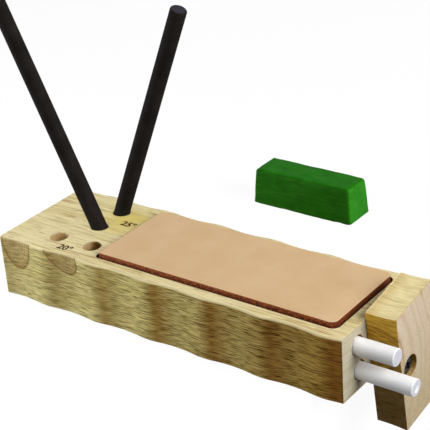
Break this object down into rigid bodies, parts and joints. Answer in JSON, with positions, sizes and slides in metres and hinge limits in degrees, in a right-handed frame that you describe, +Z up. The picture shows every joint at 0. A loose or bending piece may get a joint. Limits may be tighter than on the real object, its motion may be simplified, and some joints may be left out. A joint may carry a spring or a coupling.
{
  "type": "ceramic rod knife sharpener",
  "caption": "Scalloped hardwood block with leaning ceramic rods in its top, a leather strop let into it, rods stored in its end behind a swinging cover, and a bar of honing compound.",
  "frame": {"origin": "middle of the block's underside, in the plane that the block and the bar of compound stand on", "axes": "+X along the block towards the end cover, +Y across the block towards the bar of compound, +Z up"},
  "size_m": [0.1912, 0.1318, 0.1364],
  "materials": {
    "block_wood": "bare sanded hardwood",
    "strop_leather": "smooth undyed leather with burnished brown edges",
    "fine_rod": "matt white",
    "medium_rod": "matt near black",
    "screw_steel": "blackened",
    "washer_steel": "zinc plated",
    "compound": "waxy green"
  },
  "bodies": {
    "block": {"base_block": "block_wood", "leather_strop": "strop_leather", "pivot_screw": "screw_steel", "screw_washer": "washer_steel"},
    "cover": {"end_cover": "block_wood"},
    "standing_rod_left": {"dark_rod_left": "medium_rod"},
    "standing_rod_right": {"dark_rod_right": "medium_rod"},
    "stored_rod_upper": {"white_rod_upper": "fine_rod"},
    "stored_rod_lower": {"white_rod_lower": "fine_rod"},
    "compound": {"compound_bar": "compound"}
  },
  "joints": [
    {"name": "cover_swing", "type": "hinge", "parent": "block", "child": "cover", "pos_m": [0.0845, -0.0005, 0.006], "axis": [1, 0, 0], "range_deg": [-58, 9]},
    {"name": "left_rod_lift", "type": "slide", "parent": "block", "child": "standing_rod_left", "axis": [-0.4131, 0, 0.9107], "range_m": [0, 0.03]},
    {"name": "right_rod_lift", "type": "slide", "parent": "block", "child": "standing_rod_right", "axis": [0.3859, 0, 0.9225], "range_m": [0, 0.03]},
    {"name": "upper_rod_slide", "type": "slide", "parent": "block", "child": "stored_rod_upper", "axis": [1, 0, 0], "range_m": [-0.0158, 0.09]},
    {"name": "lower_rod_slide", "type": "slide", "parent": "block", "child": "stored_rod_lower", "axis": [1, 0, 0], "range_m": [-0.0222, 0.084]},
    {"name": "compound_lift", "type": "slide", "parent": "block", "child": "compound", "axis": [0, 0, 1], "range_m": [0, 0.03]}
  ]
}
